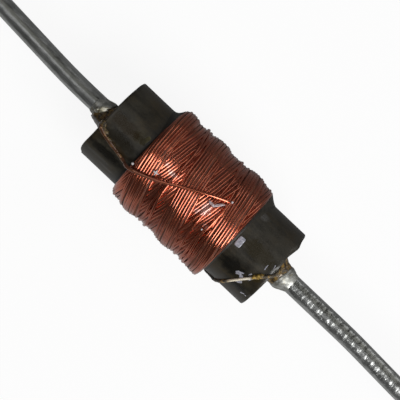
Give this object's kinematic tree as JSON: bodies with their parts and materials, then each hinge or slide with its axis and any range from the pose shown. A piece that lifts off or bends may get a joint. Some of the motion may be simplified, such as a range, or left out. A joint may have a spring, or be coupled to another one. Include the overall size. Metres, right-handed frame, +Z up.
{
  "type": "fixed inductor",
  "caption": "Axial-leaded choke: enamelled copper wire cross-wound on a bare ferrite rod, with a tinned wire lead bonded and soldered at each end.",
  "frame": {"origin": "on the surface that the part lies on, under the middle of the ferrite rod", "axes": "+X along the rod towards the end where the winding starts, +Z up through the top of the winding"},
  "size_m": [0.0602, 0.005, 0.0052],
  "materials": {
    "ferrite": "matte",
    "enamelled_copper": "gloss",
    "tinned_wire": "satin",
    "solder": "satin",
    "bonding_resin": "gloss",
    "varnish": "gloss"
  },
  "bodies": {
    "root": {"ferrite_core": "ferrite", "lead_left": "tinned_wire", "lead_right": "tinned_wire", "lead_resin_left": "bonding_resin", "lead_resin_right": "bonding_resin", "solder_joint_left": "solder", "solder_joint_right": "solder", "coil_winding": "enamelled_copper", "coil_varnish_left": "varnish", "coil_varnish_right": "varnish", "start_tail": "enamelled_copper", "finish_tail": "enamelled_copper"}
  },
  "joints": []
}
